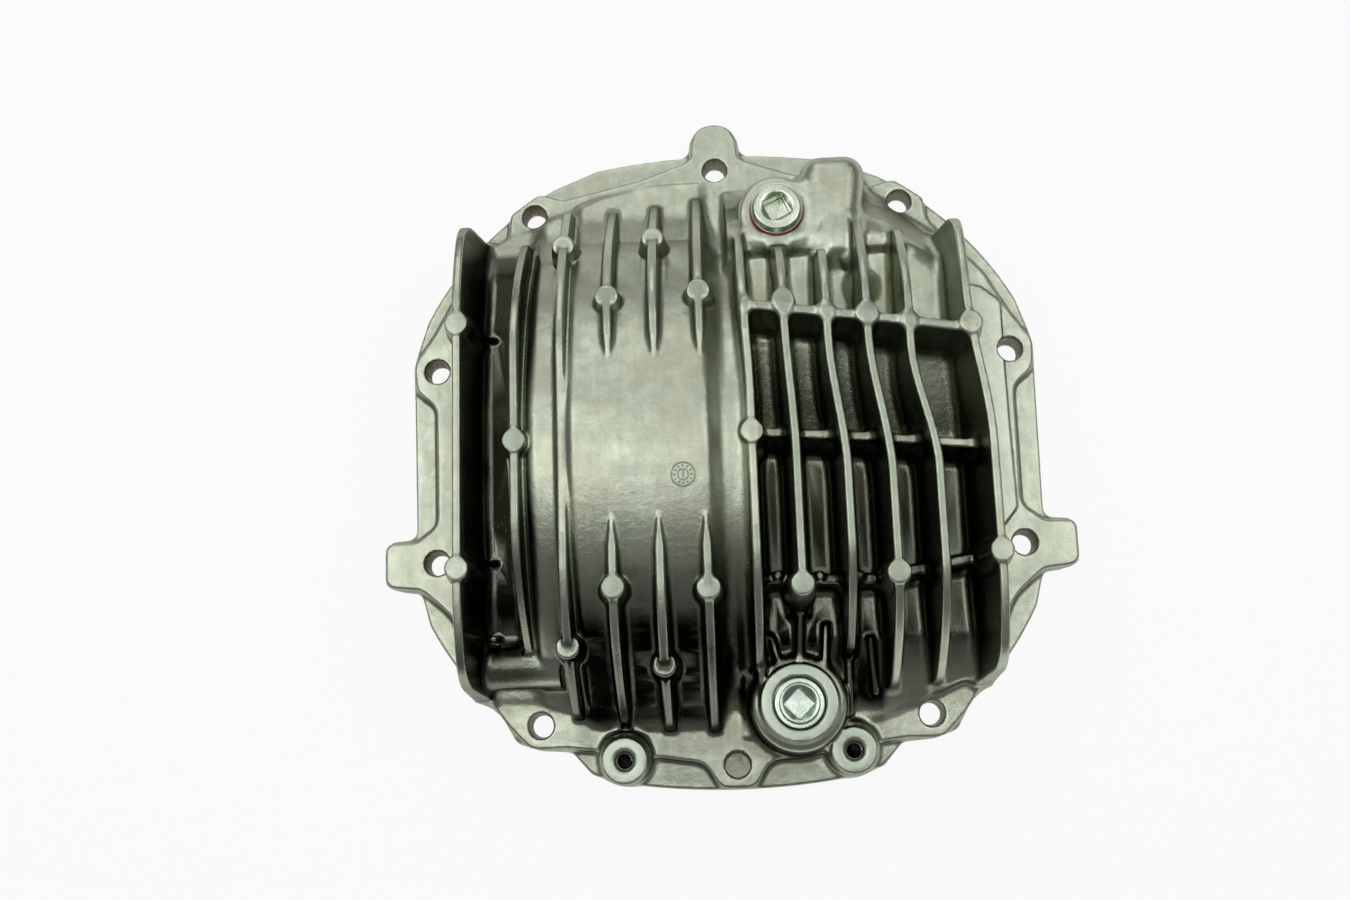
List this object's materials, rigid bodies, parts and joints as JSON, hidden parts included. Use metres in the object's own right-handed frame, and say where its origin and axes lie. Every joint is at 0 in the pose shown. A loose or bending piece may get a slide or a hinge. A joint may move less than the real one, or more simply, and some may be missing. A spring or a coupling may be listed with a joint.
{
  "type": "differential cover",
  "caption": "Finned die-cast axle differential cover with bolt flange, gear drum, cooling fins, cross ribs, screwed fill plug with seal and recessed drain plug.",
  "frame": {"origin": "under the middle of the part's box, on the gasket face", "axes": "+Z out of the gasket face towards the fin tips, +Y towards the top of the cover as it is bolted on, +X to the right seen from outside"},
  "size_m": [0.3016, 0.2986, 0.074],
  "materials": {
    "cast_aluminium": "as die-cast, shot-blasted satin, with light oil staining between the fins",
    "zinc_plate": "bright zinc plate",
    "red_rubber": "moulded red rubber",
    "drain_zinc_plate": "bright zinc plate",
    "magnet": "bare magnet"
  },
  "bodies": {
    "root": {"cover_casting": "cast_aluminium", "fill_plug": "zinc_plate", "fill_plug_seal": "red_rubber", "drain_plug": "drain_zinc_plate", "drain_plug_magnet": "magnet"}
  },
  "joints": []
}
